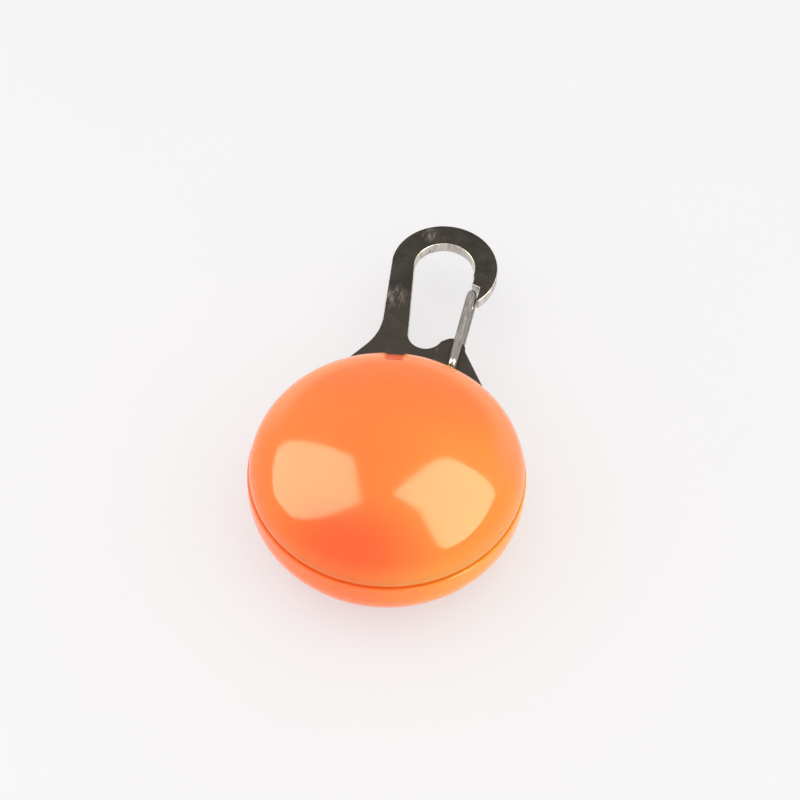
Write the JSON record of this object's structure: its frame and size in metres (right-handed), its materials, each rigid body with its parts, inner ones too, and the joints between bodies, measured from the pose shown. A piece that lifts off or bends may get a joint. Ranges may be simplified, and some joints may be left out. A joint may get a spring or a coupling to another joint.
{
  "type": "clip-on led safety light",
  "caption": "Round clip-on LED safety light: a glossy orange dome lens that presses down to switch it, over a rear shell, with a flat steel snap hook and sprung wire gate.",
  "frame": {"origin": "centre of the flat face of the rear shell, on the axis of the round body", "axes": "+Z out through the lens, +Y along the clip, +X towards the clip's gate"},
  "size_m": [0.032, 0.0533, 0.0159],
  "materials": {
    "orange_lens": "glossy translucent moulded plastic",
    "orange_shell": "glossy translucent moulded plastic",
    "blackened_steel": "thin black finish, worn bright at the cut edges",
    "bright_steel": "bright drawn wire and plated parts",
    "black_rubber": "soft matte",
    "green_board": "solder-masked laminate",
    "white_plastic": "moulded",
    "amber_resin": "clear resin over phosphor",
    "black_plastic": "moulded",
    "tan_ceramic": "unglazed",
    "cell_steel": "nickel-plated",
    "plated_brass": "plated spring strip"
  },
  "bodies": {
    "case": {"rear_shell": "orange_shell", "clip_plate": "blackened_steel", "circuit_board": "green_board", "led_packages": "white_plastic", "led_domes": "amber_resin", "switch_body": "black_plastic", "switch_cover": "bright_steel", "switch_leads": "bright_steel", "switch_dome": "bright_steel", "controller_chip": "black_plastic", "chip_resistors": "black_plastic", "chip_capacitor": "tan_ceramic", "cell_holder": "white_plastic", "upper_cell_can": "cell_steel", "upper_cell_cap": "cell_steel", "upper_cell_gasket": "black_rubber", "lower_cell_can": "cell_steel", "lower_cell_cap": "cell_steel", "lower_cell_gasket": "black_rubber", "positive_contact": "plated_brass", "negative_contact": "plated_brass", "plate_screws": "bright_steel", "board_screws": "bright_steel"},
    "lens": {"front_lens": "orange_lens", "seal_ring": "black_rubber"},
    "plunger": {"switch_plunger": "white_plastic"},
    "gate": {"gate_wire": "bright_steel"}
  },
  "joints": [
    {"name": "lens_press", "type": "slide", "parent": "case", "child": "lens", "axis": [0, 0, -1], "range_m": [0, 0.0004], "stiffness_N_per_m": 5000, "springref_m": -0.0001},
    {"name": "plunger_travel", "type": "slide", "parent": "case", "child": "plunger", "axis": [0, 0, -1], "range_m": [0, 0.0004]},
    {"name": "gate_swing", "type": "hinge", "parent": "case", "child": "gate", "pos_m": [0.00395, 0.0165, 0.00695], "axis": [0, 0, 1], "range_deg": [0, 28], "stiffness_Nm_per_rad": 0.04, "springref_deg": -17.19}
  ],
  "couplings": [
    {"joint": "plunger_travel", "follows": "lens_press", "ratio": 1}
  ]
}
